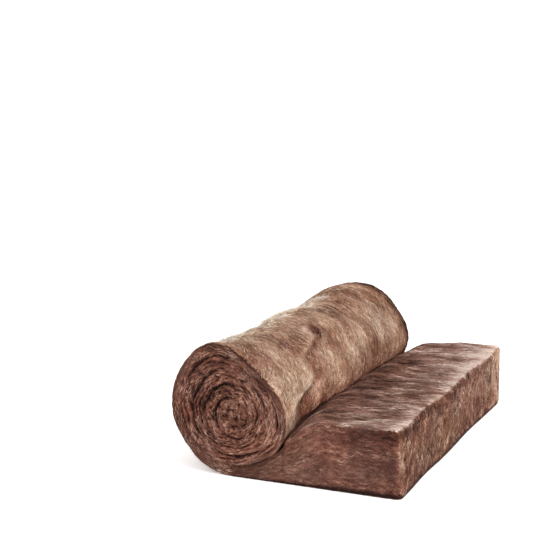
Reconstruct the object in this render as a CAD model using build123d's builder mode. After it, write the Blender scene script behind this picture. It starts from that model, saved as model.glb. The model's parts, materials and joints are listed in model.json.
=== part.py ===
"""Roll of glass mineral wool insulation, standing as it is when its free end has been pulled out.

One long blanket is one piece. Most of it is still wound up, with its turns pressed thin.
Its free end lies flat on the floor and has sprung back to the full thickness.
Frame: +X from the roll to the free end, +Y across the blanket, +Z up.
The origin is on the floor, in the middle of the part's length and width.
"""

import os
from math import cos, floor, radians, sin

from build123d import *

# The blanket, in millimetres
blanket_width = 1140.0  # length of the roll, along Y
full_thickness = 200.0  # where it lies unrolled
unrolled_length = 522.0  # from the foot of the roll to the free end

# The roll
turn_thickness = 34.0  # one wound turn
outer_radius = 206.0  # at the foot of the roll, before any turn is used up
core_radius = 18.0  # the winding starts no tighter than this
ovality = 0.045  # share by which the foot and the top are tighter than a circle, and the sides flatter

# The free end
bearing_angle = 28.0  # below the level of the roll's axis, where the roll bears on the blanket
shoulder_angle = 71.5  # how far the top has rolled over where it meets the crease beside the roll
top_edge_radius = 16.0
bottom_edge_radius = 6.0
side_edge_radius = 8.0  # both ends of the roll and both sides of the free end

# The gap between two turns, as it shows at both ends of the roll
gap_width = 10.0
gap_floor_width = 2.0
gap_depth = 16.0
gap_overshoot = 1.0  # cuts clear of the end face

# The winding goes round in quarters: foot, far side from the free end, top, side that faces it
quarters_in_turn = 4
facing_quarter = 3
quarter_turn = 360.0 / quarters_in_turn
half_quarter = quarter_turn / 2
last_quarter = floor(quarters_in_turn * (outer_radius - core_radius) / turn_thickness)


def quarter_radius(quarter):
    """Radius of one quarter of the winding, which loses a turn's thickness in each full turn."""
    used_up = quarter * turn_thickness / quarters_in_turn
    swell = -ovality if quarter % 2 == 0 else ovality
    return (outer_radius - used_up) * (1 + swell)


def winding(start, heading, first_quarter, first_sweep, final_quarter):
    """The line between two turns, as tangent arcs that go round inwards."""
    arcs = [JernArc(start, heading, quarter_radius(first_quarter), -first_sweep)]
    for quarter in range(first_quarter + 1, final_quarter + 1):
        arcs.append(JernArc(arcs[-1] @ 1, arcs[-1] % 1, quarter_radius(quarter), -quarter_turn))
    return arcs


# The section starts at the foot of the roll, and is pushed from the far end to the near one
foot_corner = quarter_radius(0) * sin(radians(half_quarter))
roll_reach = foot_corner + quarter_radius(1) * (1 - cos(radians(half_quarter)))
middle_x = (unrolled_length - roll_reach) / 2
far_end = Plane(origin=(-middle_x, blanket_width / 2, 0), x_dir=(1, 0, 0), z_dir=(0, -1, 0))
near_end = far_end.offset(blanket_width)

# The wound turns as one body, with soft edges at both ends
with BuildPart() as roll:
    with BuildSketch(far_end):
        with BuildLine():
            outer_turn = winding((0, 0), (-1, 0), 0, half_quarter, facing_quarter)
            facing_side = outer_turn[-1]
            Polyline(facing_side @ 1, facing_side.arc_center, (0, 0))
        make_face()
    extrude(amount=blanket_width)
    rims = roll.faces().filter_by(Axis.Y).edges().filter_by(GeomType.CIRCLE)
    fillet(rims, side_edge_radius)

# Where the roll bears on the blanket
bearing_share = (half_quarter + bearing_angle) / quarter_turn
crease = facing_side @ bearing_share
crease_heading = facing_side % bearing_share

# The free end, which has sprung back to its full thickness
shoulder_radius = (full_thickness - crease.Y) / (1 - cos(radians(shoulder_angle)))
shoulder_start = crease.X + shoulder_radius * sin(radians(shoulder_angle))
with BuildPart() as free_end:
    with BuildSketch(far_end) as free_section:
        with BuildLine():
            underside = Line((0, 0), (unrolled_length, 0))
            cut_end = Line(underside @ 1, (unrolled_length, full_thickness))
            top = Line(cut_end @ 1, (shoulder_start, full_thickness))
            shoulder = JernArc(top @ 1, (-1, 0), shoulder_radius, shoulder_angle)
            Polyline(shoulder @ 1, facing_side.arc_center, (0, 0))
        make_face()
        cut_corners = free_section.vertices().group_by(Axis.X)[-1].sort_by(Axis.Y)
        fillet(cut_corners[0], bottom_edge_radius)
        fillet(cut_corners[-1], top_edge_radius)
    extrude(amount=blanket_width)
    side_outline = free_end.faces().filter_by(Axis.Y).edges()
    above_corner = side_outline.filter_by(lambda edge: edge.center().Z > bottom_edge_radius)
    beside_roll = above_corner.filter_by(lambda edge: edge.center().X > crease.X - middle_x)
    fillet(beside_roll, side_edge_radius)

# The gap between the turns, as a tool that cuts into one end of the roll
with BuildPart() as gap:
    with BuildLine(near_end) as gap_line:
        winding(
            (crease.X, crease.Y),
            (crease_heading.X, crease_heading.Y),
            facing_quarter,
            quarter_turn * (1 - bearing_share),
            last_quarter,
        )
    gap_start = Plane(origin=gap_line.line @ 0, x_dir=near_end.z_dir, z_dir=gap_line.line % 0)
    with BuildSketch(gap_start):
        with BuildLine():
            Polyline(
                (gap_overshoot, -gap_width / 2),
                (gap_overshoot, gap_width / 2),
                (-gap_depth, gap_floor_width / 2),
                (-gap_depth, -gap_floor_width / 2),
                close=True,
            )
        make_face()
    sweep()

with BuildPart() as blanket:
    add(roll.part)
    add(free_end.part)
    add(gap.part, mode=Mode.SUBTRACT)
    mirror(gap.part, about=Plane.XZ, mode=Mode.SUBTRACT)

blanket.part.label = "wool_blanket"
os.makedirs("parts", exist_ok=True)
export_step(blanket.part, "parts/wool_blanket.step")
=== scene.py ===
"""Partly unrolled roll of brown glass wool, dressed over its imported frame.

The blanket is laid out flat and wound up by one formula, for its body and for the fibres that lie on it,
and all of it is then settled the way soft wool sags. Lengths are in metres and turn angles in degrees.
"""

import json
from dataclasses import dataclass
from itertools import product
from math import cos, pi, radians, sin

import bmesh
import bpy
import numpy as np
from mathutils import Matrix, Vector, noise

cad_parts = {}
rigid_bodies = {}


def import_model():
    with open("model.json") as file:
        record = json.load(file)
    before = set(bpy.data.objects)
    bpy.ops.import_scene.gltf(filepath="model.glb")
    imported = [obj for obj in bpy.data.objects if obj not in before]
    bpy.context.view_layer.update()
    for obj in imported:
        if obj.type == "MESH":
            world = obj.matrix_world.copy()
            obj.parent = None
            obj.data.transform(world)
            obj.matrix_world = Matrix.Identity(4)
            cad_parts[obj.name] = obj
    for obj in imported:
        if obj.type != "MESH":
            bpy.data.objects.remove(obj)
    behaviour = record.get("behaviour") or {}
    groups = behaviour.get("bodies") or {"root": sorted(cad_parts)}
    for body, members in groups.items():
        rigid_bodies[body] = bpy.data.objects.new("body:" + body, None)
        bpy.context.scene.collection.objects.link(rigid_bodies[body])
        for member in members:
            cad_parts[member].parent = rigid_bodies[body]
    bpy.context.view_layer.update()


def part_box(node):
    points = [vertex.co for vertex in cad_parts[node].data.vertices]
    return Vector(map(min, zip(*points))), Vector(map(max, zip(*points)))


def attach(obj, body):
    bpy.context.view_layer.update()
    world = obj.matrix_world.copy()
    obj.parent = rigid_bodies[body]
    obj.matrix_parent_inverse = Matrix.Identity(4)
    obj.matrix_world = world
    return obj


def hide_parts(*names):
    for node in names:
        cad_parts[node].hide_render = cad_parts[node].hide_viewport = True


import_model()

# Noise vectors start from another place in each run unless they are seeded
slack_seed = 7
noise.seed_set(slack_seed)

# The blanket and its winding, as in the frame
full_thickness = 0.200
unrolled_length = 0.522
turn_thickness = 0.034
outer_radius = 0.206
core_radius = 0.018
ovality = 0.045
bearing_angle = 28.0
shoulder_angle = 71.5
quarters_in_turn = 4
full_turn = 360.0
quarter_turn = full_turn / quarters_in_turn
half_quarter = quarter_turn / 2

low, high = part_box("wool_blanket")
near_y, far_y = low[1], high[1]
free_x = high[0]
foot_x = free_x - unrolled_length
both_sides = (-1, 1)
floor_level = 1e-6  # what is lower than this lies on the floor

# Turn angles, from the foot of the roll and round inwards
crease_angle = 3 * quarter_turn + bearing_angle
slit_angle = 14.0  # the crease goes on between the roll and the free end for this much more
slit_width = 0.007
angle_step = 2.0

# Mesh spacing
band_rows = 18
wedge_rows = band_rows
wool_rows = 2 * wedge_rows
width_columns = 190
flat_step = 0.0065
merge_distance = 0.00001

# How softly the rims of the roll and the edges of the free end are rounded
rim_softness = 0.010
edge_softness = 0.017

# The upper and the lower fold in the skin, as turn angles, and places across the blanket from its near end
skin_folds = (
    ((200.0, 210.0, 220.0, 226.0, 233.0), (0.465, 0.415, 0.410, 0.350, 0.260)),
    ((246.0, 254.0, 259.0, 263.0, 268.0, 277.0), (0.250, 0.262, 0.235, 0.160, 0.120, 0.095)),
)

# Pale and dark patches of the skin, as a turn angle, a place from the near end, and how much paler
skin_patches = (
    (200.0, 0.04, -0.12),
    (243.0, 0.05, 0.20),
    (220.0, 0.12, 0.12),
    (214.0, 0.23, -0.18),
    (250.0, 0.55, 0.10),
    (244.0, 0.91, 0.12),
    (192.0, 0.90, -0.18),
    (168.0, 0.66, 0.30),
    (172.0, 0.48, 0.28),
    (178.0, 0.32, 0.16),
    (172.0, 0.10, 0.24),
    (262.0, 0.80, -0.22),
)


def smooth(share):
    """0 below 0, 1 above 1, and an easy slope between."""
    share = np.clip(share, 0.0, 1.0)
    return share * share * (3 - 2 * share)


def bump_at(value, middle, reach):
    """1 at the middle, falling to 0 on both sides."""
    return np.exp(-(((value - middle) / reach) ** 2))


def fade(distance, reach):
    """0 at an edge and 1 at reach from it."""
    return smooth(distance / reach)


def ripple(a, b, c=0.0):
    """Smooth noise between about -1 and 1 at each place."""
    a, b, c = np.broadcast_arrays(a, b, c)
    places = np.stack([a, b, c], -1).reshape(-1, 3).tolist()
    return np.array([noise.noise(place) for place in places]).reshape(a.shape)


def noisy(first, second, *parts):
    """Smooth noises added up, each given by its height, its size along both values, and where it starts."""
    return sum(height * ripple(first / long, second / wide, start) for height, long, wide, start in parts)


def from_ends(across):
    """Distance from the nearer of the blanket's two sides."""
    return np.minimum(across - near_y, far_y - across)


# The winding line


def quarter_radius(quarter):
    """Radius of one quarter of the winding."""
    swell = -ovality if quarter % 2 == 0 else ovality
    return (outer_radius - quarter * turn_thickness / quarters_in_turn) * (1 + swell)


last_quarter = int(quarters_in_turn * (outer_radius - core_radius) / turn_thickness)
radii = np.array([quarter_radius(quarter) for quarter in range(last_quarter + 1)])
centres = [np.array([foot_x, radii[0]])]
for quarter in range(1, last_quarter + 1):
    joint = radians(half_quarter + quarter_turn * (quarter - 1))
    outward_there = np.array([-sin(joint), -cos(joint)])
    centres.append(centres[-1] + (radii[quarter - 1] - radii[quarter]) * outward_there)
centres = np.array(centres)
last_station = angle_step * int((half_quarter + quarter_turn * last_quarter - full_turn) / angle_step)
axis_x, axis_z = centres[-1]


def outward_at(angle):
    """Direction away from the roll's axis at a turn angle, in the section."""
    turn = np.radians(angle)
    return np.stack([-np.sin(turn), -np.cos(turn)], -1)


def winding(angle):
    """Place on the winding line at a turn angle, in the section."""
    angle = np.asarray(angle, float)
    quarter = np.clip(((angle + half_quarter) // quarter_turn).astype(int), 0, last_quarter)
    return centres[quarter] + radii[quarter][..., None] * outward_at(angle)


def slit(angle):
    """Half the width of the gap between the roll and the free end, which closes below the crease."""
    opened = smooth((angle - crease_angle + 26.0) / 26.0) * (angle < full_turn)
    return slit_width / 2 * opened * (1 - smooth((angle - crease_angle) / slit_angle))


def lengths(points):
    """Length along a line of points, from its start."""
    steps = np.linalg.norm(np.diff(points, axis=0), axis=1)
    return np.concatenate([[0.0], np.cumsum(steps)])


def along_line(distance, knots, values):
    """Values at a distance along a line."""
    return np.stack([np.interp(distance, knots, column) for column in values.T], -1)


# Stations of the free end, from the cut end to the foot: the underside and the top of each
crease = winding(crease_angle)
shoulder_radius = (full_thickness - crease[1]) / (1 - cos(radians(shoulder_angle)))
shoulder_x = crease[0] + shoulder_radius * sin(radians(shoulder_angle))
shoulder_centre = np.array([shoulder_x, full_thickness - shoulder_radius])
flat_columns = round((free_x - shoulder_x) / flat_step)
shoulder_columns = round(shoulder_radius * radians(shoulder_angle) / flat_step)
wedge_columns = round((full_turn - crease_angle) / angle_step)

flat_x = np.linspace(free_x, shoulder_x, flat_columns + 1)
flat_top = np.stack([flat_x, np.full_like(flat_x, full_thickness)], -1)
shoulder_turn = np.radians(np.linspace(0, shoulder_angle, shoulder_columns + 1)[1:])
shoulder_out = np.stack([-np.sin(shoulder_turn), np.cos(shoulder_turn)], -1)
off_roll = slit_width / 2 * smooth(shoulder_turn / shoulder_turn[-1])
shoulder_top = shoulder_centre + shoulder_radius * shoulder_out + off_roll[:, None] * outward_at(crease_angle)
wedge_angle = np.linspace(crease_angle, full_turn, wedge_columns + 1)
wedge_out = -outward_at(wedge_angle)
wedge_top = winding(wedge_angle) - wedge_out * slit(wedge_angle)[:, None]
top_points = np.concatenate([flat_top, shoulder_top[:-1], wedge_top])
flat_out = np.stack([np.zeros_like(flat_x), np.ones_like(flat_x)], -1)
top_out = np.concatenate([flat_out, shoulder_out[:-1], wedge_out])
top_lengths = lengths(top_points)
turned_share = (top_lengths[flat_columns:] - top_lengths[flat_columns]) / (
    top_lengths[-1] - top_lengths[flat_columns]
)
under_x = np.concatenate([flat_x[:-1], shoulder_x + (foot_x - shoulder_x) * turned_share])
under_points = np.stack([under_x, np.zeros_like(under_x)], -1)
under_lengths = free_x - under_x
crease_column = flat_columns + shoulder_columns
top_reach = top_lengths[crease_column]

# The outer skin, from the cut end along the floor to the foot, and round the roll into the slit
skin_angle = np.arange(angle_step, crease_angle + slit_angle + angle_step / 2, angle_step)
skin_out = np.concatenate([np.tile([0.0, -1.0], (len(under_x), 1)), outward_at(skin_angle)])
wound_points = winding(skin_angle) - outward_at(skin_angle) * slit(skin_angle)[:, None]
skin_points = np.concatenate([under_points, wound_points])
skin_lengths = lengths(skin_points)
slit_columns = round(slit_angle / angle_step)
crease_length = skin_lengths[-1 - slit_columns]
top_knots = crease_column + slit_columns

# The turns, whose stations are turn angles, and the core that the last of them leaves
band_angle = np.arange(0.0, last_station + angle_step / 2, angle_step)
band_outer = winding(band_angle) - outward_at(band_angle) * slit(band_angle)[:, None]
band_inner = winding(band_angle + full_turn)
band_lengths = unrolled_length + lengths(winding(band_angle))
core_x, core_z = winding(last_station + np.arange(0.0, full_turn, angle_step)).mean(axis=0)


# Relief of each sheet, outwards from its face


def skin_turn(along):
    """Turn angle at a length along the skin, which is 0 all along the floor."""
    return np.interp(along, skin_lengths[len(under_x) - 1 :], np.concatenate([[0.0], skin_angle]))


def beside_folds(along, across):
    """For each fold in the skin, the distance across the blanket from it, and how strong it is there."""
    angle = skin_turn(along)
    beside = []
    for angles, places in skin_folds:
        away = across - near_y - np.interp(angle, angles, places)
        middle, reach = (angles[0] + angles[-1]) / 2 + 4.0, (angles[-1] - angles[0]) * 0.6
        beside.append((away, bump_at(angle, middle, reach)))
    return beside


def skin_relief(along, across):
    """Puffs, folds and streaks of the wound skin. It is flat where it lies on the floor."""
    lifted = smooth((along - unrolled_length - 0.03) / 0.10) * fade(crease_length - along, 0.05)
    puffs = noisy(along, across, (0.0070, 0.19, 0.16, 3.1), (0.0055, 0.08, 0.055, 7.7))
    folded = 0.0
    for away, strength in beside_folds(along, across):
        dent = 0.006 * bump_at(away, 0.0, np.where(away < 0, 0.036, 0.055))
        folded = folded + strength * (0.006 * bump_at(away, -0.06, 0.040) - dent)
    streaks = noisy(along, across, (0.0024, 0.08, 0.015, 1.3))
    from_end = from_ends(across)
    soft = fade(from_end, 0.05) * (puffs + folded - 0.002) + fade(from_end, 0.012) * streaks
    return lifted * soft


def top_creases(distance, across):
    """Narrow creases that run along the blanket on top of the free end."""
    lines = bump_at(ripple(distance / 0.17, across / 0.030, 15.0), 0.0, 0.07)
    return lines * smooth(0.2 + 1.7 * ripple(distance / 0.09, across / 0.05, 16.0)) * fade(distance, 0.03)


def top_relief(distance, across):
    """Long soft ridges along the blanket on the top of the free end."""
    ends = fade(from_ends(across), 0.03) * fade(distance, 0.02)
    ridges = noisy(distance, across, (0.0040, 0.15, 0.026, 5.2), (0.0020, 0.07, 0.012, 2.2))
    puffs = noisy(distance, across, (0.0060, 0.18, 0.12, 9.4))
    return ends * (ridges + puffs - 0.0015 - 0.0050 * top_creases(distance, across))


def gap_depth(angle):
    """How deep the gap between two turns is at their ends."""
    uneven = 0.92 + 1.5 * ripple(angle / 38.0, 4.4) - 0.5 * smooth((angle - full_turn + 30.0) / 60.0)
    uneven = uneven + 0.5 * bump_at(angle, 600.0, 60.0) - 0.3 * bump_at(angle, 470.0, 50.0)
    return 0.015 * np.clip(uneven, 0.0, 1.0) * smooth((angle - crease_angle - slit_angle) / 20.0)


def gap_shape(distance):
    """Share of a gap's depth at a distance from its middle."""
    return np.exp(-np.abs(distance / 0.0028) ** 1.3)


def gaps_beside(angle, depth):
    """Depth of the gaps outside and inside a turn, at a depth into it."""
    inner = gap_depth(angle + full_turn) * gap_shape(turn_thickness - depth)
    return gap_depth(angle) * gap_shape(depth) + inner


def about_axis(section):
    """Direction from the roll's axis, and distance from it."""
    arm = section - np.array([axis_x, axis_z])
    radius = np.maximum(np.linalg.norm(arm, axis=-1), 1e-6)
    return arm[..., 0] / radius, arm[..., 1] / radius, radius


def inner_turns(radius):
    """1 in the turns inside the outermost one, and 0 in that one."""
    return fade(outer_radius - turn_thickness - radius, 0.014)


def layer_cracks(section, side):
    """Broken cracks between the layers of the turns, inside the outermost one."""
    right, up, radius = about_axis(section)
    wavy = radius / 0.012 + 1.3 * ripple(right * 2.3, up * 2.3 + side * 9.0, radius / 0.035)
    lines = bump_at(wavy - np.round(wavy), 0.0, 0.17)
    broken = smooth(0.30 + 2.0 * ripple(right * 5.5 + 5.0, up * 5.5, radius / 0.012))
    return lines * broken * inner_turns(radius)


def band_section(along, depth):
    """Place in the section at a length along the winding and a depth into the turn."""
    outer = along_line(along, band_lengths, band_outer)
    inner = along_line(along, band_lengths, band_inner)
    return outer + (inner - outer) * (depth / turn_thickness)[..., None]


def band_relief(section, angle, depth, side):
    """Ends of the wound turns: gaps between them, and layers that stand out by different amounts."""
    share = np.clip(depth / turn_thickness, 0.0, 1.0)
    turned = angle + full_turn * share
    open_edge = np.where(angle < crease_angle + slit_angle, fade(depth, 0.008), 1.0)
    begun = smooth((turned - full_turn) / 60.0)
    pushed = 0.0060 * ripple(turned / 120.0, 6.1 + side)
    right, up, radius = about_axis(section)
    layers = 0.0042 * ripple(right * 4.0, up * 4.0, radius / 0.0085 + side) * inner_turns(radius)
    layers = layers - 0.0060 * layer_cracks(section, side)
    outermost = 0.0035 * np.sin(pi * share) * open_edge * smooth(angle / 25.0)
    return begun * (pushed + layers) + outermost - gaps_beside(angle, depth)


def side_relief(along, depth, side):
    """Matted side of the free end, with layers that fan out from under the roll."""
    share = depth / full_thickness
    wedge = along >= under_lengths[crease_column] - 1e-6
    edges = fade(depth, 0.015) * fade(full_thickness - depth, 0.030) * fade(along, 0.025)
    edges = edges * fade(unrolled_length - along, 0.03)
    angle = np.interp(along, under_lengths[crease_column:], wedge_angle)
    loose = np.interp(along, under_lengths, np.linalg.norm(top_points - under_points, axis=1)) * (1 - share)
    gap = wedge * gap_depth(angle) * gap_shape(loose)
    matted = noisy(along, depth, (0.0045, 0.10, 0.035, 11.5 + side), (0.0028, 0.040, 0.013, 2.5 + side))
    return edges * matted - gap


def tear(across, height):
    """1 in the ragged split that runs down the cut end beside its near corner, and 0 beside it."""
    middle = near_y + 0.030 + 0.010 * ripple(height / 0.035, 0.7) + 0.10 * (0.13 - height)
    return bump_at(across, middle, 0.006) * bump_at(height, 0.100, 0.045)


def cut_relief(across, height):
    """Torn face of the cut end."""
    edges = fade(from_ends(across), 0.012) * fade(height, 0.012) * fade(full_thickness - height, 0.012)
    tufts = noisy(across, height, (0.0060, 0.040, 0.060, 14.2), (0.0034, 0.017, 0.026, 3.3))
    return edges * (tufts - 0.012 * tear(across, height))


# Places on each sheet: the first two values lie in the flat sheet, and height is outwards from it


def in_space(section, across):
    """A place in the section at a place across the blanket."""
    return np.stack([section[..., 0], np.broadcast_to(across, section.shape[:-1]), section[..., 1]], -1)


def rim_radius(angle):
    """The rims of the roll are round, but not where it lies on the floor or on the free end."""
    return rim_softness * smooth(angle / 20.0) * (1 - smooth((angle - crease_angle) / slit_angle))


def rounded(distance, radius):
    """Distance in from a round rim, and drop below the face, at a flat distance from the sharp rim.

    What reaches past the rim folds over it. A rim without a radius stays sharp.
    """
    soft = np.maximum(radius, 1e-6)
    turn = pi / 4 * (1 - np.clip(distance / soft, -1.0, 1.0))
    inwards = np.where(distance < soft, soft * (1 - np.sin(turn)), distance)
    drop = soft * (1 - np.cos(turn)) + np.maximum(-distance - soft, 0.0)
    sharp = radius < 1e-5
    return np.where(sharp, distance, inwards), np.where(sharp, 0.0, drop)


def folded_over(past, height):
    """How far out and how far down a fibre lies that reaches past an edge of the free end by a length."""
    over, height = np.maximum(past, 0.0), np.maximum(height, 0.0)
    return np.minimum(over, height), over + height * np.minimum(over / edge_softness, 1.0)


def round_edges(places):
    """Rounds the edges of the free end, for places on its faces or just above them."""
    x, y, z = places[..., 0], places[..., 1], places[..., 2]
    radius = edge_softness * smooth((x - crease[0] - 0.004) / 0.05)
    top = np.interp(x, top_points[::-1, 0], top_points[::-1, 1])
    past = np.stack([x - free_x + radius, np.abs(y) - far_y + radius, z - top + radius], -1)
    past = np.maximum(past, 0.0)
    reach = np.maximum(np.linalg.norm(past, axis=-1), 1e-9)
    moved = past * (np.where(reach > 1e-8, past.max(-1) / reach, 1.0) - 1)[..., None]
    moved[..., 1] *= np.sign(y)
    return places + moved


def on_skin(along, across, height=0.0):
    """The outer skin, along the floor to the foot of the roll and round it into the slit."""
    section = along_line(along, skin_lengths, skin_points)
    outward = along_line(along, skin_lengths, skin_out)
    inwards, drop = rounded(far_y - np.abs(across), rim_radius(skin_turn(along)))
    rise = skin_relief(along, across) + height - drop
    places = in_space(section + outward * rise[..., None], np.sign(across) * (far_y - inwards))
    return np.where((along > unrolled_length)[..., None], places, round_edges(places))


def on_top(distance, across, height=0.0):
    """The top of the free end, from the cut end into the slit."""
    section = along_line(distance, top_lengths, top_points)
    outward = along_line(distance, top_lengths, top_out)
    open_top = 1 - smooth((distance - top_reach + 0.04) / 0.04)
    rise = top_relief(distance, across) * open_top + height
    out_cut, down_cut = folded_over(-distance, height)
    out_side, down_side = folded_over(np.abs(across) - far_y, height)
    inside = np.minimum(np.abs(across), far_y)
    places = in_space(section + outward * rise[..., None], np.sign(across) * (inside + out_side))
    places[..., 0] += out_cut
    places[..., 2] -= down_cut + down_side
    return round_edges(places)


def on_band(side):
    """The ends of the turns, on the near side or the far one."""

    def place(along, depth, height=0.0):
        angle = np.interp(along, band_lengths, band_angle)
        inwards, drop = rounded(depth, rim_radius(angle))
        section = band_section(along, depth)
        rise = band_relief(section, angle, depth, side) + height - drop
        section = section - outward_at(angle) * (inwards - depth)[..., None]
        section[..., 0] += np.maximum(unrolled_length - along, 0.0)
        return in_space(section, side * (far_y + rise))

    return place


def on_side(side):
    """The near or far side of the free end."""

    def place(along, depth, height=0.0):
        under = along_line(along, under_lengths, under_points)
        top = along_line(along, under_lengths, top_points)
        share = np.clip(depth / full_thickness, 0.0, 1.0)
        section = under + (top - under) * share[..., None]
        section[..., 0] -= np.maximum(along - unrolled_length, 0.0)
        out_top, in_top = folded_over(depth - full_thickness, height)
        out_cut, in_cut = folded_over(-along, height)
        rise = side_relief(along, depth, side) + height - in_top - in_cut
        places = in_space(section, side * (far_y + rise))
        places[..., 0] += out_cut
        places[..., 2] += out_top
        return round_edges(places)

    return place


def on_cut(across, level, height=0.0):
    """The cut end, by a place across it and a level above the floor."""
    out_side, in_side = folded_over(np.abs(across) - far_y, height)
    out_top, in_top = folded_over(level - full_thickness, height)
    x = free_x + cut_relief(across, level) + height - in_side - in_top
    y = np.sign(across) * (np.minimum(np.abs(across), far_y) + out_side)
    return round_edges(np.stack([x, y, np.clip(level, 0.0, full_thickness) + out_top], -1))


def on_core(side):
    """The tangled end of the core, as a flat square about its middle."""

    def place(right, up, height=0.0):
        sunk = 0.008 * (1 - smooth(np.hypot(right, up) / 0.020))
        across = side * (far_y + height - sunk)
        return np.stack([core_x + right, across, core_z + up], -1)

    return place


# How the soft wool sags: moves that depend only on the place, and on whether it is part of the free end

# Dents of the roll's near end: height outwards, direction and its reach in degrees, and length along the roll
near_end_dents = (
    (-0.036, 40.0, 32.0, 0.055),
    (-0.012, 93.0, 26.0, 0.055),
    (-0.018, 70.0, 20.0, 0.035),
    (0.016, 106.0, 18.0, 0.035),
    (0.005, -112.0, 16.0, 0.060),
)

# Waves of the roll's top line, by height, place from the near end, and reach
top_line_waves = (
    (0.019, 1.00, 0.16),
    (-0.013, 0.23, 0.14),
    (-0.009, 0.70, 0.10),
    (-0.005, 0.19, 0.06),
)

# Small slack of the wool, by how far it moves a place and over what length it changes
slack_waves = ((0.0035, 0.085), (0.0014, 0.028))


def roll_sag(places, from_near, from_far):
    """How far the wool of the roll has moved along X and Z."""
    x, y, z = places[..., 0], places[..., 1], places[..., 2]
    arm_x, arm_z = x - axis_x, z - axis_z
    arm = np.maximum(np.hypot(arm_x, arm_z), 1e-6)
    right, up = arm_x / arm, arm_z / arm
    direction = np.degrees(np.arctan2(arm_z, arm_x))
    outer_wool = smooth((arm - 0.09) / 0.10)

    # At the near end the upper rim is crushed and the side away from the free end bulges
    dents = 0.006 * smooth(-1.2 * right) * smooth(1.0 + 1.6 * up) * np.exp(-from_near / 0.20)
    for height, middle, reach, length in near_end_dents:
        dents = dents + height * bump_at(direction, middle, reach) * np.exp(-from_near / length)

    # The top line is wavy, and the rim of the far end is uneven
    waves = sum(height * bump_at(from_near, place, reach) for height, place, reach in top_line_waves)
    far_rim = 0.004 * bump_at(direction, 6.0, 16.0) - 0.008 * bump_at(direction, 40.0, 18.0)
    far_rim = far_rim * np.exp(-from_far / 0.10) * (1 - smooth((arm - 0.205) / 0.04))
    outward = outer_wool * (dents + waves * bump_at(direction, 115.0, 50.0) + far_rim)

    # The turns are uneven, and the roll has spread over the free end at its near end
    uneven = 0.0055 * ripple(right * 1.9, up * 1.9 + y * 3.0, arm / 0.045)
    outward = outward + uneven * smooth((0.178 - arm) / 0.05) * smooth(arm / 0.04)
    spread = 0.013 * bump_at(direction, -30.0, 20.0) * np.exp(-from_near / 0.12)
    outward = outward + spread * smooth((arm - 0.10) / 0.08) * (1 - smooth((arm - 0.20) / 0.07))

    # The core has sunk
    sunk = smooth((outer_radius - arm) / 0.17)
    return 0.008 * sunk + outward * right, -0.026 * sunk + outward * up


def free_end_sag(places, from_near, from_far):
    """How far the wool of the free end has moved along X and Z."""
    x, z = places[..., 0], places[..., 2]
    beyond = x - crease[0]

    # The shoulder has slumped at both ends, and most at the near one
    slump = 0.006 * smooth((beyond + 0.026) / 0.026) + 0.026 * smooth(beyond / 0.035)
    slump = slump * (1 - smooth((beyond - 0.045) / 0.100)) * np.exp(-((from_near / 0.14) ** 1.5))
    far_slump = 0.016 * smooth((beyond + 0.010) / 0.030) * (1 - smooth((beyond - 0.020) / 0.120))
    far_slump = far_slump - 0.004 - 0.008 * smooth((beyond - 0.10) / 0.15)
    slump = slump + far_slump * smooth((beyond + 0.010) / 0.030) * np.exp(-((from_far / 0.14) ** 1.5))

    # The cut end is a little hollow in two places, and reaches a little further at its far corner
    hollow = 0.012 * (bump_at(from_near, 0.25, 0.13) + bump_at(from_near, 0.73, 0.18))
    hollow = hollow * (0.45 + 0.55 * smooth(z / 0.15)) + 0.002 * (1 - smooth(z / 0.05))
    further = 0.002 * smooth(beyond / 0.30) * np.exp(-from_far / 0.25)
    move_x = further - hollow * smooth((x - free_x + 0.15) / 0.15)
    return move_x, -slump * np.clip(z / 0.170, 0.0, 1.0)


def slack(places, length):
    """A smooth noise vector at each place."""
    spots = (places.reshape(-1, 3) / length).tolist()
    return np.array([noise.noise_vector(spot) for spot in spots]).reshape(places.shape)


def settle(places, free):
    """Moves places by the sag and slack of the blanket, where free is 1 on the free end and 0 on the roll."""
    x, y, z = places[..., 0], places[..., 1], places[..., 2]
    free = np.maximum(free, (z < floor_level) * 1.0)
    from_near, from_far = np.maximum(y - near_y, 0.0), np.maximum(far_y - y, 0.0)
    roll_x, roll_z = roll_sag(places, from_near, from_far)
    end_x, end_z = free_end_sag(places, from_near, from_far)
    settled = np.stack([x + roll_x + free * end_x, y, np.maximum(z + roll_z + free * end_z, 0.0)], -1)
    shake = sum(reach * slack(places, length) for reach, length in slack_waves)
    return settled + shake * smooth(z / 0.03)[..., None]


# Tone of the wool by place, from 0 in dark hollows to 1 on pale tips, and how reddish it is. The tones also
# carry painted shade and painted light, as marked below.
foot_tone = 0.44  # where the turns meet the side of the free end


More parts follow.
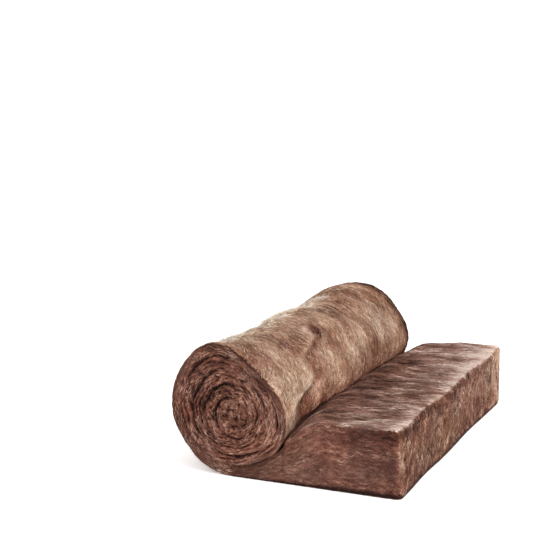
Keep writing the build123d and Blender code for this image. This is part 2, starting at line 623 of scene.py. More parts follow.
def skin_tone(along, across):
    """Tone and redness of the outer skin."""
    clumps = noisy(along, across, (0.20, 0.034, 0.012, 20.1), (0.28, 0.12, 0.07, 21.7))
    from_near = across - near_y
    from_crease = np.maximum(crease_length - along, 0.0)
    angle = skin_turn(along)
    # Painted shade in each fold, and painted light on the bulge beside it
    folded = 0.0
    for away, strength in beside_folds(along, across):
        painted_shade = 0.36 * bump_at(away, 0.012, 0.034)
        folded = folded + strength * (painted_shade - 0.18 * bump_at(away, -0.055, 0.035))

    # Between the lower fold, which comes last, and the crease the wool is dark and reddish with painted
    # shade, darkest in the crease itself; the far rim gets painted shade where it turns away from the light
    farther = smooth((from_near - 0.25) / 0.30)
    by_crease = smooth(away / 0.05) * bump_at(from_crease, 0.0, 0.10 - 0.03 * farther)
    tucked = 0.010 + 0.026 * smooth(from_near / 0.16)
    crease_shade = 1 - smooth((from_crease - tucked) / 0.008)
    rim_reach = 0.042 + 0.018 * ripple(angle / 22.0, 28.0)
    far_rim = np.exp(-((np.maximum(far_y - across, 0.0) / rim_reach) ** 1.4))
    far_rim = far_rim * (0.65 + 0.35 * smooth((angle - 185.0) / 40.0))
    shaded = (0.18 + 0.10 * farther) * by_crease + 0.50 * crease_shade + 1.20 * far_rim
    strokes = bump_at(ripple(along / 0.09, across / 0.022, 27.0), 0.0, 0.10)
    strokes = 0.60 * strokes * bump_at(angle, 196.0, 14.0) * bump_at(from_near, 0.70, 0.12)
    # Painted light makes the lower skin, towards the crease, paler against the shade it gets there
    paler = 0.16 * smooth((angle - 200.0) / 70.0)
    for turn, place, amount in skin_patches:
        paler = paler + amount * bump_at(angle, turn, 13.0) * bump_at(from_near, place, 0.09)
    tone = 0.52 + clumps + paler - shaded - folded - strokes
    redness = 0.8 * by_crease + crease_shade + 0.2 * folded + 0.3 * far_rim
    return tone, redness


def top_tone(distance, across):
    """Tone and redness of the top of the free end."""
    clumps = noisy(distance, across, (0.30, 0.060, 0.014, 31.0), (0.36, 0.14, 0.050, 32.0))
    from_near = across - near_y
    from_cut = np.maximum(distance, 0.0)
    frayed = 0.34 * bump_at(from_cut, 0.0, 0.040) * smooth((distance + 0.004) / 0.014)
    frayed = frayed + 0.30 * bump_at(from_cut, 0.0, 0.15) * smooth((from_near - 0.35) / 0.50)
    frayed = frayed + 0.08 * smooth((from_near - 0.5) / 0.6) + 0.32 * np.exp(-from_near / 0.13)
    # Painted shade, a little reddish, where the top goes down into the slit, and painted shade in its creases
    tucked = 1.1 * bump_at(np.maximum(top_reach - distance, 0.0), 0.0, 0.007)
    left = smooth((distance - 0.15) / 0.10) * (1 - smooth((from_near - 0.80) / 0.20))
    tone = 0.40 + clumps + frayed - tucked - 0.24 * left - 0.55 * top_creases(distance, across)
    return tone, tucked + 0.15 * left


def band_tone(side):
    """Tone and redness of the ends of the turns."""

    def tone(along, depth):
        section = band_section(along, depth)
        angle = np.interp(along, band_lengths, band_angle)
        right, up, radius = about_axis(section)
        arcs = 0.38 * ripple(right * 9.0, up * 9.0, radius / 0.0048 + side)
        clumps = 0.20 * ripple(right * 2.5, up * 2.5, radius / 0.022 + side)
        inside = smooth((0.168 - radius) / 0.012)
        core = 0.08 * smooth((0.085 - radius) / 0.06)
        # Painted shade in the gaps between the turns and in the cracks between their layers
        painted_shade = 42.0 * gaps_beside(angle, depth) + 0.50 * layer_cracks(section, side)
        outermost = (1 - inside) * (0.04 + 0.10 * smooth(0.3 + right + up))
        # Painted shade under the skin's rim, along the outer edge of the turns' ends
        outermost = outermost + (angle < crease_angle) * 0.34 * np.exp(-np.maximum(depth, 0.0) / 0.005)
        outermost = outermost + 0.04 * (1 - smooth(angle / 70.0))
        upper_left = smooth((0.75 * up - 0.65 * right - 0.1) / 0.7)
        lower_right = smooth((0.55 * right - 0.85 * up - 0.2) / 0.5)
        uneven = 0.06 * lower_right * smooth((radius - 0.08) / 0.05) - 0.10 * upper_left * inside
        value = 0.50 + arcs * (0.5 + 0.5 * inside) + clumps + core + uneven + 0.05 * right - outermost - painted_shade
        at_foot = 1 - smooth(angle / 25.0)
        return value + (foot_tone - value) * at_foot, (0.16 + 0.06 * upper_left) * inside

    return tone


def side_tone(side):
    """Tone and redness of a side of the free end."""

    def tone(along, depth):
        clumps = noisy(along, depth, (0.27, 0.022, 0.008, 50.0 + side), (0.12, 0.10, 0.04, side))
        streaks = bump_at(ripple(along / 0.09, depth / 0.012, 54.0 + side), 0.0, 0.14)
        below_edge = bump_at(depth, full_thickness - 0.028, 0.024)
        streaks = (0.10 + 0.16 * streaks * (1 - smooth((along - 0.10) / 0.05))) * below_edge
        # Painted contact shadow along the bottom edge
        contact_shadow = 1.10 * bump_at(depth, 0.0, 0.009)
        corner = 0.42 * bump_at(along, 0.0, 0.009) * bump_at(depth, 0.115, 0.05)
        value = 0.35 + clumps + corner + 0.15 * smooth((along - 0.04) / 0.20) - streaks
        at_foot = smooth((along - unrolled_length + 0.07) / 0.07)
        return value + (foot_tone - value) * at_foot - contact_shadow, 0.15 * below_edge * (1 - smooth(along / 0.15))

    return tone


def cut_tone(across, level):
    """Tone and redness of the cut end."""
    clumps = noisy(across, level, (0.34, 0.011, 0.026, 60.0), (0.30, 0.050, 0.045, 61.0))
    from_near = across - near_y
    from_top = np.maximum(full_thickness - level, 0.0)
    # Painted contact shadow along the bottom edge
    contact_shadow = 1.10 * bump_at(level, 0.0, 0.009)
    # Painted shade, a little reddish, under the ledge of the top edge
    shade_under_ledge = 0.26 * bump_at(from_top, 0.016, 0.020) * (1 - smooth((from_near - 0.75) / 0.25))
    low_and_far = 0.16 * bump_at(from_near, 0.80, 0.20) * (1 - smooth((level - 0.06) / 0.08))
    paler = 0.16 * smooth(from_near / 1.0) - 0.04 + 0.22 * smooth((from_near - 0.98) / 0.08)
    paler = paler + 0.34 * bump_at(from_near, 0.004, 0.020) * bump_at(level, 0.115, 0.05)
    # The tear is darkened with painted shade
    tone = 0.45 + clumps + paler - shade_under_ledge - low_and_far - contact_shadow - 0.80 * tear(across, level)
    return tone, 0.5 * shade_under_ledge + 0.8 * low_and_far


def core_tone(right, up):
    """Tone and redness of the tangled core."""
    # Painted shade in the hollow middle of the core
    tone = 0.60 - 0.80 * bump_at(np.hypot(right - 0.002, up + 0.004), 0.0, 0.006)
    return tone, np.full_like(tone, 0.2)


# Meshes and objects


def as_mesh(shape, name):
    """A bmesh made into a mesh, and freed."""
    mesh = bpy.data.meshes.new(name)
    shape.to_mesh(mesh)
    shape.free()
    return mesh


def take_in(whole, mesh):
    """Adds a mesh to a bmesh, and removes it."""
    whole.from_mesh(mesh)
    bpy.data.meshes.remove(mesh)


def mesh_places(mesh):
    """The places of a mesh's points."""
    places = np.empty(len(mesh.vertices) * 3)
    mesh.vertices.foreach_get("co", places)
    return places.reshape(-1, 3)


def mesh_values(mesh, name):
    """The values of a mesh's points in one of its attributes."""
    values = np.empty(len(mesh.vertices))
    mesh.attributes[name].data.foreach_get("value", values)
    return values


def new_object(name, data):
    """An object at the origin of the scene."""
    thing = bpy.data.objects.new(name, data)
    bpy.context.scene.collection.objects.link(thing)
    return thing


def finished_object(name, mesh, materials):
    """An object that stands for part of the blanket."""
    piece = new_object(name, mesh)
    for material in materials:
        mesh.materials.append(material)
    mesh.shade_smooth()
    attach(piece, "root")
    return piece


# Body of the blanket: one grid for each sheet, merged along their shared edges

# Rings that close the core at each end, by the share of the ring before to which each shrinks, and its tone,
# darker inwards as painted shade in the core's hollow
core_rings = ((0.72, 0.55), (0.62, 0.50), (0.45, 0.30))
core_dip = 0.006
core_middle_dip = 0.010

across_places = np.linspace(near_y, far_y, width_columns + 1)
band_depths = np.linspace(0, turn_thickness, band_rows + 1)
wedge_depths = np.linspace(0, full_thickness, wedge_rows + 1)
side_depths = np.linspace(0, full_thickness, wool_rows + 1)


def sheet_grid(first, second, place, tone, material_index, free, first_column_cuts=0):
    """A flat grid put in place on its sheet."""
    columns, rows = len(first) - 1, len(second) - 1
    first_border = -0.9999  # the grid starts at -1
    grid = bmesh.new()
    uv_name = grid.loops.layers.uv.new("flat_place")
    value_names = [grid.verts.layers.float.new(name) for name in ("tone", "redness", "free")]
    bmesh.ops.create_grid(grid, x_segments=columns, y_segments=rows, size=1.0)
    if first_column_cuts:
        first_column = [line for line in grid.edges if all(vert.co.x < first_border for vert in line.verts)]
        bmesh.ops.subdivide_edges(grid, edges=first_column, cuts=first_column_cuts)
    grid.verts.index_update()
    corners = (np.array([vert.co[:2] for vert in grid.verts]) + 1) / 2
    flat_first = np.interp(corners[:, 0] * columns, np.arange(columns + 1), first)
    flat_second = np.interp(corners[:, 1] * rows, np.arange(rows + 1), second)
    flat = np.stack([flat_first, flat_second], -1)
    tones, reds = tone(flat_first, flat_second)
    for vert, spot, value, red in zip(grid.verts, place(flat_first, flat_second), tones, reds):
        vert.co = spot
        for name, number in zip(value_names, (value, red, free)):
            vert[name] = number
    for face in grid.faces:
        face.material_index = material_index
        for loop in face.loops:
            loop[uv_name].uv = flat[loop.vert.index]
    return grid


def join_grids(grids):
    """All grids as one bmesh, with the edges they share merged."""
    whole = bmesh.new()
    for grid in grids:
        take_in(whole, as_mesh(grid, "sheet"))
    bmesh.ops.remove_doubles(whole, verts=whole.verts, dist=merge_distance)
    return whole


def close_core(whole, material_index):
    """Fills the hole that the innermost turn leaves at each end, by rings that shrink to its middle."""
    tone_name = whole.verts.layers.float["tone"]
    uv_name = whole.loops.layers.uv["flat_place"]
    sheets = set(whole.faces)
    for side in both_sides:
        ring = [line for line in whole.edges if line.is_boundary and line.verts[0].co.y * side > 0]
        middle = sum((line.verts[0].co for line in ring), Vector()) / len(ring)
        for shrink, tone in core_rings:
            grown = bmesh.ops.extrude_edge_only(whole, edges=ring)["geom"]
            inner = [part for part in grown if isinstance(part, bmesh.types.BMVert)]
            ring = [part for part in grown if isinstance(part, bmesh.types.BMEdge) and part.is_boundary]
            bmesh.ops.scale(whole, verts=inner, vec=(shrink, 1.0, shrink), space=Matrix.Translation(-middle))
            for vert in inner:
                vert[tone_name] = tone
        bmesh.ops.translate(whole, verts=inner, vec=(0.0, -core_dip * side, 0.0))
        deepest = middle - Vector((0.0, core_middle_dip * side, 0.0))
        bmesh.ops.pointmerge(whole, verts=inner, merge_co=deepest)
    for face in set(whole.faces) - sheets:
        face.material_index = material_index
        for loop in face.loops:
            loop[uv_name].uv = loop.vert.co.xz


def clear_underside(whole):
    """Leaves the flat underside of the free end with few faces."""
    flat_faces = {face for face in whole.faces if all(vert.co.z < floor_level for vert in face.verts)}
    flat_edges = [line for line in whole.edges if line.link_faces and flat_faces.issuperset(line.link_faces)]
    bmesh.ops.dissolve_edges(whole, edges=flat_edges, use_verts=True)


def build_body():
    """All sheets as one, with their materials numbered as in the body's list of them."""
    skin, top, turns, sides, cut = range(5)
    grids = [
        sheet_grid(skin_lengths, across_places, on_skin, skin_tone, skin, 0.0),
        sheet_grid(top_lengths[: top_knots + 1], across_places, on_top, top_tone, top, 1.0),
        sheet_grid(across_places, side_depths, on_cut, cut_tone, cut, 1.0),
    ]
    outer_lengths, wedge_lengths = np.split(under_lengths, [crease_column])
    outer_lengths = np.append(outer_lengths, wedge_lengths[0])
    wedge_cuts = wool_rows // wedge_rows - 1
    for side in both_sides:
        place, tone = on_side(side), side_tone(side)
        grids.append(sheet_grid(band_lengths, band_depths, on_band(side), band_tone(side), turns, 0.0))
        grids.append(sheet_grid(outer_lengths, side_depths, place, tone, sides, 1.0))
        grids.append(sheet_grid(wedge_lengths, wedge_depths, place, tone, sides, 1.0, wedge_cuts))
    whole = join_grids(grids)
    close_core(whole, turns)
    clear_underside(whole)
    bmesh.ops.recalc_face_normals(whole, faces=whole.faces)
    return whole


def blanket_body(materials):
    """The body of the blanket, settled."""
    mesh = as_mesh(build_body(), "wool_body")
    settled = settle(mesh_places(mesh), mesh_values(mesh, "free"))
    mesh.vertices.foreach_set("co", settled.ravel())
    return finished_object("wool_body", mesh, materials)


# Loose fibres: slim closed shapes scattered over each flat sheet, and wound up with it

# Bend and wave in widths of a fibre, and the lift of its ends in its own heights
fibre_bends = (
    (1.5, 0.0, 0.6),
    (-1.8, 0.8, 1.0),
    (0.6, 1.6, 0.2),
    (-0.8, -1.5, 1.4),
    (2.6, 0.6, 0.8),
    (-3.0, -0.8, 0.4),
)
lock_shapes = (0, len(fibre_bends) - 1)
strand_shapes = (len(fibre_bends), 2 * len(fibre_bends) - 1)
fibre_lift = 0.0004
# A fibre is painted paler on its crown and darker on its underside, as painted highlight and shade
crown_highlight = 0.10


@dataclass
class Sheet:
    """A flat sheet of the blanket, and how fibres lie on it: combed together, and turned by an angle."""

    place: object
    tone: object
    free: float
    first_span: tuple
    second_span: tuple
    comb: float = 0.0
    lie: float = 0.0


@dataclass
class Layer:
    """Fibres of one kind: how many lie on a square metre, their sizes, and how much they differ."""

    shapes: tuple
    density: float
    long: tuple
    wide: tuple
    height: float
    spread: float
    unevenness: float
    paleness: float = 0.0


def fibre_mesh(name, pieces, crown, bend, wave, lift):
    """A fibre of unit length and width with three sides, pointed at both ends and bent its own way."""
    half_width = 0.58
    grid = bmesh.new()
    bmesh.ops.create_grid(grid, x_segments=pieces, y_segments=3, size=0.5)
    for vert in grid.verts:
        reach = 2 * vert.co.x
        turn = 2 * pi * (vert.co.y + 0.5)
        slim = 1.0 - abs(reach) ** 2.5
        vert.co.y = half_width * sin(turn) * slim + bend * (reach**2 - 0.5) + wave * sin(pi * reach)
        vert.co.z = crown * cos(turn) * slim + lift * reach**2
    bmesh.ops.remove_doubles(grid, verts=grid.verts, dist=0.0001)
    bmesh.ops.recalc_face_normals(grid, faces=grid.faces)
    return as_mesh(grid, name)


def fibre_shapes():
    """Wide soft locks first, and then thin strands."""
    shapes = bpy.data.collections.new("fibre_shapes")
    for kind, pieces, crown in (("lock", 4, 1.0), ("strand", 2, 0.15)):
        for number, bends in enumerate(fibre_bends):
            name = f"{kind}_{number}"
            shapes.objects.link(bpy.data.objects.new(name, fibre_mesh(name, pieces, crown, *bends)))
    return shapes


# Scattering of the fibres by nodes


def fill_sockets(tree, node, sockets):
    """Gives a node's sockets, by name or number, a plain value each, or a link from another node."""
    for name, value in sockets.items():
        if isinstance(value, bpy.types.NodeSocket):
            tree.links.new(value, node.inputs[name])
        else:
            node.inputs[name].default_value = value


def add_node(tree, kind, sockets, **settings):
    """A new node with its settings and sockets."""
    node = tree.nodes.new(kind)
    for name, value in settings.items():
        setattr(node, name, value)
    fill_sockets(tree, node, sockets)
    return node


def used_sockets(node, values):
    """Values by the numbers of the input sockets that a node uses as it is set."""
    numbers = [number for number, socket in enumerate(node.inputs) if socket.enabled]
    return dict(zip(numbers, values))


def used_output(node):
    """The output that a node uses as it is set."""
    return next(socket for socket in node.outputs if socket.enabled)


def new_group(name, kind, inputs, outputs):
    """A node group with sockets of the given names and kinds, what it is given, and its results."""
    tree = bpy.data.node_groups.new(name, kind)
    for in_out, sockets in (("OUTPUT", outputs), ("INPUT", inputs)):
        for socket, content in sockets.items():
            tree.interface.new_socket(socket, in_out=in_out, socket_type=f"NodeSocket{content}")
    given = tree.nodes.new("NodeGroupInput").outputs
    return tree, given, tree.nodes.new("NodeGroupOutput").inputs


# What the scattering takes: sizes and numbers
scatter_sizes = ("Size X", "Size Y", "Density", "Shortest", "Longest", "Narrowest", "Widest", "Height")
scatter_sizes = scatter_sizes + ("Spread", "Comb", "Lie")
scatter_numbers = ("First Shape", "Last Shape", "Seed")


def scatter_tree(shapes):
    """Geometry nodes that scatter fibres over a flat rectangle, each with its own pick of tone."""
    inputs = dict.fromkeys(scatter_sizes, "Float") | dict.fromkeys(scatter_numbers, "Int")
    tree, given, result = new_group("scattered_fibres", "GeometryNodeTree", inputs, {"Geometry": "Geometry"})

    def value_of(operation, first, second):
        return add_node(tree, "ShaderNodeMath", {0: first, 1: second}, operation=operation).outputs[0]

    def random_value(kind, lowest, highest, offset):
        seed = {"Seed": value_of("ADD", given["Seed"], offset)}
        node = add_node(tree, "FunctionNodeRandomValue", seed, data_type=kind)
        fill_sockets(tree, node, used_sockets(node, (lowest, highest)))
        return used_output(node)

    corners = {"Size X": given["Size X"], "Size Y": given["Size Y"], "Vertices X": 2, "Vertices Y": 2}
    sheet = add_node(tree, "GeometryNodeMeshGrid", corners).outputs["Mesh"]
    spread = {"Mesh": sheet, "Density": given["Density"], "Seed": given["Seed"]}
    points = add_node(tree, "GeometryNodeDistributePointsOnFaces", spread).outputs["Points"]
    choice = {"Collection": shapes, "Separate Children": True, "Reset Children": True}
    fibres = add_node(tree, "GeometryNodeCollectionInfo", choice).outputs["Instances"]

    # Neighbours are combed the same way, with a little spread of their own
    position = add_node(tree, "GeometryNodeInputPosition", {}).outputs["Position"]
    combed = add_node(tree, "ShaderNodeTexNoise", {"Vector": position, "Scale": 8.0, "Detail": 1.0})
    slant = value_of("MULTIPLY", value_of("SUBTRACT", combed.outputs["Fac"], 0.5), given["Comb"])
    backwards = value_of("MULTIPLY", given["Spread"], -1.0)
    own_turn = random_value("FLOAT", backwards, given["Spread"], 3)
    turn = value_of("ADD", value_of("ADD", slant, given["Lie"]), own_turn)
    length = random_value("FLOAT", given["Shortest"], given["Longest"], 1)
    width = random_value("FLOAT", given["Narrowest"], given["Widest"], 2)
    size = {"X": length, "Y": width, "Z": given["Height"]}
    placing = {
        "Points": points,
        "Instance": fibres,
        "Pick Instance": True,
        "Instance Index": random_value("INT", given["First Shape"], given["Last Shape"], 4),
        "Rotation": add_node(tree, "ShaderNodeCombineXYZ", {"Z": turn}).outputs["Vector"],
        "Scale": add_node(tree, "ShaderNodeCombineXYZ", size).outputs["Vector"],
    }
    placed = add_node(tree, "GeometryNodeInstanceOnPoints", placing).outputs["Instances"]
    pick = {"Geometry": placed, "Name": "pick", "Value": random_value("FLOAT", 0.0, 1.0, 5)}
    kinds = {"domain": "INSTANCE", "data_type": "FLOAT"}
    picked = add_node(tree, "GeometryNodeStoreNamedAttribute", pick, **kinds).outputs["Geometry"]
    real = add_node(tree, "GeometryNodeRealizeInstances", {"Geometry": picked}).outputs["Geometry"]
    tree.links.new(real, result["Geometry"])
    return tree


def scatter(tree, sheet, layer, seed):
    """Flat fibres of one layer over a sheet, as a mesh."""
    spans = (sheet.first_span, sheet.second_span)
    values = [end - start for start, end in spans] + [layer.density, *layer.long, *layer.wide, layer.height]
    values = values + [layer.spread, sheet.comb, sheet.lie, *layer.shapes, seed]
    settings = dict(zip(scatter_sizes + scatter_numbers, values))
    helper = new_object("scatter", bpy.data.meshes.new("scatter"))
    modifier = helper.modifiers.new("scatter", "NODES")
    modifier.node_group = tree
    for item in tree.interface.items_tree:
        if item.in_out == "INPUT":
            modifier[item.identifier] = settings[item.name]
    ready = helper.evaluated_get(bpy.context.evaluated_depsgraph_get())
    mesh = bpy.data.meshes.new_from_object(ready)
    bpy.data.objects.remove(helper)
    mesh.transform(Matrix.Translation((sum(sheet.first_span) / 2, sum(sheet.second_span) / 2, 0.0)))
    return mesh


def wind_up(mesh, sheet, layer):
    """Puts flat fibres in place on their sheet and gives each its tone, with a painted highlight on its crown
    and painted shade on its underside.

    They stand out from the wool in some patches, and are matted down in others.
    """
    first, second, height = mesh_places(mesh).T
    places = settle(sheet.place(first, second, fibre_lift + height), sheet.free)
    places[:, 2] = np.maximum(places[:, 2], fibre_lift)
    mesh.vertices.foreach_set("co", places.ravel())
    own_tone = layer.unevenness * (mesh_values(mesh, "pick") - 0.5)
    own_tone = own_tone + crown_highlight * height / layer.height + layer.paleness
    loose = smooth(0.5 + 1.6 * ripple(first / 0.060, second / 0.035, 70.0))
    tones, reds = sheet.tone(first, second)
    tones = tones + own_tone * (0.25 + 0.95 * loose)
    for name, values in (("tone", tones), ("redness", reds)):
        mesh.attributes.new(name, "FLOAT", "POINT").data.foreach_set("value", values)
    mesh.attributes.remove(mesh.attributes["pick"])


def fibre_cover(name, tree, sheets, layers, colours, seed):
    """A piece of loose fibres, with the same layers over each of some sheets."""
    whole = bmesh.new()
    for number, (sheet, layer) in enumerate(product(sheets, layers)):
        mesh = scatter(tree, sheet, layer, seed + number)
        wind_up(mesh, sheet, layer)
        take_in(whole, mesh)
    bmesh.ops.recalc_face_normals(whole, faces=whole.faces)
    finished_object(name, as_mesh(whole, name), [fibre_wool(f"{name}_wool", colours)])


# Materials


def linear(red, green, blue):
    """A colour given in screen values from 0 to 255, as the shaders take it."""
    values = [value / 255 for value in (red, green, blue)]
    return [v / 12.92 if v <= 0.04045 else ((v + 0.055) / 1.055) ** 2.4 for v in values] + [1.0]


skin_colours = [linear(47, 15, 9), linear(111, 72, 55), linear(156, 121, 99), linear(212, 189, 167)]
top_colours = [linear(43, 17, 11), linear(98, 65, 54), linear(141, 108, 95), linear(199, 178, 166)]
turn_colours = [linear(35, 13, 10), linear(92, 55, 46), linear(142, 100, 84), linear(210, 176, 155)]
cut_colours = [linear(41, 18, 11), linear(94, 58, 46), linear(134, 95, 77), linear(191, 160, 139)]
# Fine loose fuzz on the skyline, coloured pale as a painted highlight where it catches the light against the
# sky
stray_highlight_colours = [linear(140, 108, 86), linear(188, 160, 136), linear(218, 198, 178), linear(240, 228, 214)]

matt_wool = {
    "Roughness": 0.95,
    "Specular IOR Level": 0.12,
    "Sheen Weight": 0.08,
    "Sheen Roughness": 0.6,
    "Sheen Tint": linear(235, 210, 185),
}


def new_material(name, sockets):
    """A material, with its tree and its shader, whose sockets get the given values."""
    material = bpy.data.materials.new(name)
    material.use_nodes = True
    tree = material.node_tree
    shader = tree.nodes["Principled BSDF"]
    fill_sockets(tree, shader, sockets)
    return material, tree, shader


def spread_about(tree, pattern, middle, amount):
    """A pattern between 0 and 1, spread by an amount about a middle value."""
    spread = {0: pattern, 1: amount, 2: middle - amount / 2}
    return add_node(tree, "ShaderNodeMath", spread, operation="MULTIPLY_ADD").outputs[0]


def streak_group():
    """Fine fibre streaks along the first axis of a flat place."""
    inputs = {"Place": "Vector", "Length": "Float", "Width": "Float", "Curl": "Float"}
    tree, given, result = new_group("fibre_streaks", "ShaderNodeTree", inputs, {"Streaks": "Float"})

    def vector_of(operation, sockets):
        return add_node(tree, "ShaderNodeVectorMath", sockets, operation=operation).outputs[0]

    bent = add_node(tree, "ShaderNodeTexNoise", {"Vector": given["Place"], "Scale": 22.0, "Detail": 2.0})
    centred = vector_of("SUBTRACT", {0: bent.outputs["Color"], 1: (0.5, 0.5, 0.5)})
    curled = vector_of("SCALE", {0: centred, "Scale": given["Curl"]})
    moved = vector_of("ADD", {0: given["Place"], 1: curled})
    size = add_node(tree, "ShaderNodeCombineXYZ", {"X": given["Length"], "Y": given["Width"], "Z": 1.0})
    stretched = vector_of("DIVIDE", {0: moved, 1: size.outputs[0]})
    look = {"Vector": stretched, "Scale": 1.0, "Detail": 4.0, "Roughness": 0.65}
    tree.links.new(add_node(tree, "ShaderNodeTexNoise", look).outputs["Fac"], result["Streaks"])
    return tree


red_tint = (1.35, 0.86, 0.76, 1.0)


def patch_group():
    """Broad patches where the wool is a little warmer or cooler, fuller or greyer, and lighter or darker."""
    inputs = {"Place": "Vector", "Colour": "Color", "Redness": "Float"}
    tree, given, result = new_group("wool_patches", "ShaderNodeTree", inputs, {"Colour": "Color"})
    broad = add_node(tree, "ShaderNodeTexNoise", {"Vector": given["Place"], "Scale": 8.0, "Detail": 3.0})
    parts = add_node(tree, "ShaderNodeSeparateColor", {"Color": broad.outputs["Color"]}).outputs
    changes = {
        "Color": given["Colour"],
        "Hue": spread_about(tree, parts["Red"], 0.5, 0.03),
        "Saturation": spread_about(tree, parts["Green"], 1.0, 0.4),
        "Value": spread_about(tree, parts["Blue"], 1.0, 0.6),
    }
    changed = add_node(tree, "ShaderNodeHueSaturation", changes).outputs["Color"]
    redder = add_node(tree, "ShaderNodeMix", {}, data_type="RGBA", blend_type="MULTIPLY")
    fill_sockets(tree, redder, used_sockets(redder, (given["Redness"], changed, red_tint)))
    tree.links.new(used_output(redder), result["Colour"])
    return tree


streaks = streak_group()
patches = patch_group()


def varied_tone(tree, pattern, amount):
    """The tone of the place, made uneven by a pattern between 0 and 1."""
    tone = add_node(tree, "ShaderNodeAttribute", {}, attribute_name="tone").outputs["Fac"]
    added = {0: tone, 1: spread_about(tree, pattern, 0.0, amount)}
    return add_node(tree, "ShaderNodeMath", added, use_clamp=True).outputs[0]


def toned_colour(tree, tone, colours):
    """Colours from dark hollows to pale tips, by tone."""
    ramp = add_node(tree, "ShaderNodeValToRGB", {"Fac": tone})
    stops = ramp.color_ramp.elements
    stops[0].position, stops[0].color = 0.0, colours[0]
    stops[1].position, stops[1].color = 1.0, colours[-1]
    for number, colour in enumerate(colours[1:-1], start=1):
        stops.new(number / (len(colours) - 1)).color = colour
    return ramp.outputs["Color"]


def patched_colour(tree, tone, colours):
    """The colour of a tone, changed by the broad patches."""
    sockets = {
        "Place": add_node(tree, "ShaderNodeTexCoord", {}).outputs["Object"],
        "Colour": toned_colour(tree, tone, colours),
        "Redness": add_node(tree, "ShaderNodeAttribute", {}, attribute_name="redness").outputs["Fac"],
    }
    return add_node(tree, "ShaderNodeGroup", sockets, node_tree=patches).outputs["Colour"]


def wool_surface(name, colours, length, width, curl, contrast, lean=0.0):
    """Wool of the body itself, under the loose fibres. Its streaks lean from the first axis by an angle."""
    material, tree, shader = new_material(name, matt_wool)
    flat = add_node(tree, "ShaderNodeUVMap", {}, uv_map="flat_place").outputs["UV"]
    leant = add_node(tree, "ShaderNodeMapping", {"Vector": flat, "Rotation": (0.0, 0.0, lean)})
    look = {"Place": leant.outputs["Vector"], "Length": length, "Width": width, "Curl": curl}
    pattern = add_node(tree, "ShaderNodeGroup", look, node_tree=streaks).outputs["Streaks"]
    relief = add_node(tree, "ShaderNodeBump", {"Strength": 0.9, "Distance": 0.004, "Height": pattern})
    colour = patched_colour(tree, varied_tone(tree, pattern, contrast), colours)
    fill_sockets(tree, shader, {"Base Color": colour, "Normal": relief.outputs["Normal"]})
    return material


def fibre_wool(name, colours):
    """Loose fibres, each of nearly one tone."""
    material, tree, shader = new_material(name, matt_wool)
    place = add_node(tree, "ShaderNodeTexCoord", {}).outputs["Object"]
    mottle = add_node(tree, "ShaderNodeTexNoise", {"Vector": place, "Scale": 240.0, "Detail": 2.0})
    colour = patched_colour(tree, varied_tone(tree, mottle.outputs["Fac"], 0.4), colours)
    fill_sockets(tree, shader, {"Base Color": colour})
    return material


body = blanket_body(
    [
        wool_surface("wool_skin", skin_colours, 0.022, 0.0034, 0.034, 1.5, lean=0.25),
        wool_surface("wool_top", top_colours, 0.030, 0.0042, 0.034, 1.3, lean=0.10),
        wool_surface("wool_turns", turn_colours, 0.018, 0.0026, 0.014, 1.5),
        wool_surface("wool_sides", turn_colours, 0.016, 0.0036, 0.022, 1.4),
        wool_surface("wool_cut", cut_colours, 0.0036, 0.013, 0.018, 1.4),
    ]
)
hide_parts("wool_blanket")

# Loose fibres of each sheet, which lie along the winding, and upright on the cut end
whole_width = (near_y, far_y)
whole_height = (0.0, full_thickness)
open_skin = (unrolled_length, crease_length - 0.040)
open_top = (0.030, top_reach - 0.045)
crest = tuple(np.interp((146.0, 174.0), skin_angle, skin_lengths[len(under_x) :]))
crest_width = (near_y + 0.04, near_y + 0.84)
wound_length = (unrolled_length, band_lengths[-1])
turn_depth = (0.0, turn_thickness)
core_square = (-core_radius, core_radius)

skin = Sheet(on_skin, skin_tone, 0.0, open_skin, whole_width, comb=3.0, lie=-0.25)
crest_skin = Sheet(on_skin, skin_tone, 0.0, crest, crest_width)
top = Sheet(on_top, top_tone, 1.0, open_top, whole_width, comb=1.6, lie=-0.10)
ledge = Sheet(on_top, top_tone, 1.0, (0.0, 0.040), whole_width, comb=1.5, lie=-0.35)
cut = Sheet(on_cut, cut_tone, 1.0, whole_width, (0.012, full_thickness), comb=0.8, lie=pi / 2)
bands = [Sheet(on_band(side), band_tone(side), 0.0, wound_length, turn_depth) for side in both_sides]
cores = [Sheet(on_core(side), core_tone, 0.0, core_square, core_square) for side in both_sides]
free_sides = [
    Sheet(on_side(side), side_tone(side), 1.0, (0.0, unrolled_length), whole_height, comb=2.0)
    for side in both_sides
]

shapes = fibre_shapes()
tree = scatter_tree(shapes)
long_locks = Layer(lock_shapes, 4600, (0.014, 0.034), (0.0022, 0.0050), 0.0012, 0.50, 0.42, 0.02)
long_strands = Layer(strand_shapes, 14000, (0.010, 0.026), (0.0011, 0.0024), 0.0024, 0.70, 1.40, 0.14)
top_locks = Layer(lock_shapes, 3500, (0.035, 0.100), (0.0024, 0.0060), 0.0014, 0.24, 0.50, 0.02)
top_strands = Layer(strand_shapes, 8000, (0.022, 0.070), (0.0014, 0.0034), 0.0024, 0.32, 0.85, 0.06)
ledge_locks = Layer(lock_shapes, 9000, (0.014, 0.040), (0.0016, 0.0040), 0.0014, 0.45, 0.40, 0.06)
short_locks = Layer(lock_shapes, 9000, (0.010, 0.028), (0.0020, 0.0044), 0.0014, 0.45, 0.75)
short_strands = Layer(strand_shapes, 15000, (0.012, 0.030), (0.0012, 0.0026), 0.0024, 0.60, 1.50, 0.06)
side_locks = Layer(lock_shapes, 9000, (0.010, 0.026), (0.0018, 0.0036), 0.0012, 0.32, 0.45)
side_strands = Layer(strand_shapes, 20000, (0.010, 0.024), (0.0010, 0.0020), 0.0020, 0.32, 0.60, 0.02)
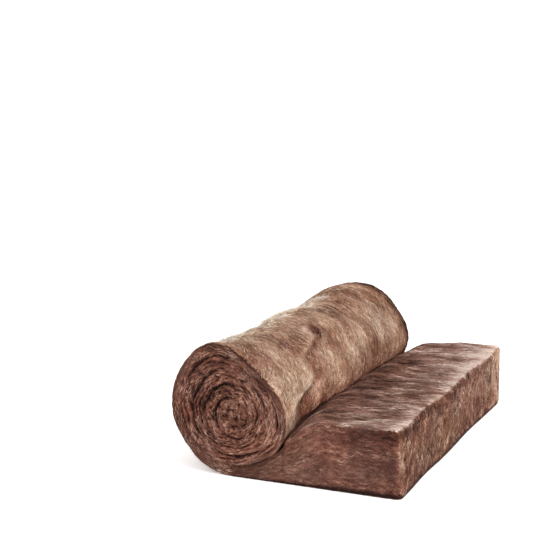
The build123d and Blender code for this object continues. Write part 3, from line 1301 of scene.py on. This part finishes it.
turn_locks = Layer(lock_shapes, 10000, (0.012, 0.034), (0.0013, 0.0030), 0.0014, 0.24, 0.60)
turn_strands = Layer(strand_shapes, 24000, (0.010, 0.030), (0.0010, 0.0022), 0.0024, 0.42, 1.30, 0.05)
tangle = Layer(lock_shapes, 90000, (0.008, 0.024), (0.0012, 0.0026), 0.0020, pi, 1.10)
fuzz = Layer(strand_shapes, 9000, (0.014, 0.040), (0.0006, 0.0011), 0.0110, 0.9, 0.90, 0.05)

# Each piece of fibres has seeds of its own
first_seed = 100
seed_step = 10
covers = (
    ("skin_locks", [skin], [long_locks], skin_colours),
    ("skin_strands", [skin], [long_strands], skin_colours),
    ("top_fibres", [top], [top_locks, top_strands], top_colours),
    ("ledge_fibres", [ledge], [ledge_locks], top_colours),
    ("cut_fibres", [cut], [short_locks, short_strands], cut_colours),
    ("side_fibres", free_sides, [side_locks, side_strands], turn_colours),
    ("end_fibres", bands, [turn_locks, turn_strands], turn_colours),
    ("core_fibres", cores, [tangle], turn_colours),
    ("stray_fibres", [crest_skin], [fuzz], stray_highlight_colours),
)
for number, (name, sheets, layers, colours) in enumerate(covers):
    fibre_cover(name, tree, sheets, layers, colours, first_seed + seed_step * number)

for shape in list(shapes.objects):
    bpy.data.objects.remove(shape)
bpy.data.collections.remove(shapes)

# Studio: a pale floor, soft light and the camera of the picture
sky_strength = 1.25
floor_reach = 30.0
floor_colour = (0.95, 0.95, 0.95, 1.0)
floor_glow = 0.2
lamp_strength = 1.8
lamp_spread = 50.0
to_lamp = (0.95, -0.15, 0.80)
camera_place = (1.326, -3.598, 1.139)
camera_lens = 77.05
looking_down = 9.13
turned_left = 23.94


def studio():
    """Everything that isn't part of the roll."""
    scene = bpy.context.scene
    scene.view_settings.view_transform = "Standard"
    scene.world = bpy.data.worlds.new("studio")
    scene.world.use_nodes = True
    sky = scene.world.node_tree
    fill_sockets(sky, sky.nodes["Background"], {"Color": (1.0, 1.0, 1.0, 1.0), "Strength": sky_strength})

    floor_grid = bmesh.new()
    bmesh.ops.create_grid(floor_grid, x_segments=1, y_segments=1, size=floor_reach)
    floor = new_object("studio_floor", as_mesh(floor_grid, "studio_floor"))
    pale = {"Base Color": floor_colour, "Roughness": 1.0, "Emission Strength": floor_glow}
    floor.data.materials.append(new_material("pale_floor", pale)[0])

    lamp = bpy.data.lights.new("key", "SUN")
    lamp.energy = lamp_strength
    lamp.angle = radians(lamp_spread)
    new_object("key", lamp).rotation_euler = Vector(to_lamp).to_track_quat("Z", "Y").to_euler()

    camera = bpy.data.cameras.new("camera")
    camera.sensor_width = 36.0
    camera.lens = camera_lens
    scene.camera = new_object("camera", camera)
    scene.camera.location = camera_place
    scene.camera.rotation_euler = (radians(90.0 - looking_down), 0.0, radians(turned_left))


studio()
